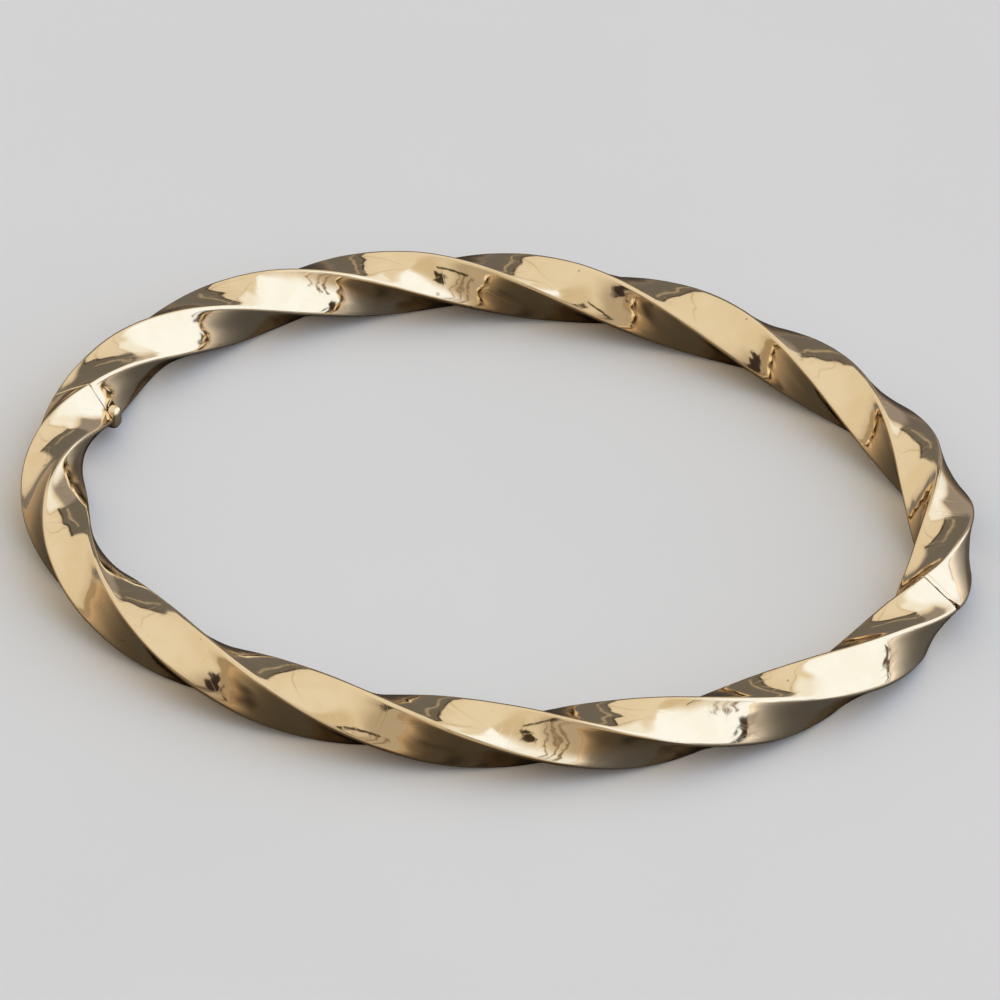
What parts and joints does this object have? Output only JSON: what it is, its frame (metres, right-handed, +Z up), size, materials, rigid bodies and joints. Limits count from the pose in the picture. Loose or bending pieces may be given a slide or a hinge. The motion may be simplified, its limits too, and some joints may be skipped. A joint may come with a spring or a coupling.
{
  "type": "twisted wire bangle",
  "caption": "Oval bangle of twisted square wire in two halves, hinged at one end and closed at the other by a tongue that slides into a socket.",
  "frame": {"origin": "centre of the oval, on the surface that the bangle lies on", "axes": "+X towards the hinge, -X towards the clasp, +Y across the oval towards the half with the socket, +Z up, the way the wrist goes through"},
  "size_m": [0.0684, 0.0572, 0.0047],
  "materials": {
    "gold": "polished pale yellow gold with fine wear",
    "pin_gold": "drawn pin wire of the same gold, filed flush with the wire at its end"
  },
  "bodies": {
    "front": {"front_half": "gold", "hinge_pin": "pin_gold"},
    "back": {"back_half": "gold"}
  },
  "joints": [
    {"name": "hinge", "type": "hinge", "parent": "front", "child": "back", "pos_m": [0.03343, -0.0007, 0.00235], "axis": [0, 0, -1], "range_deg": [0, 45]}
  ]
}
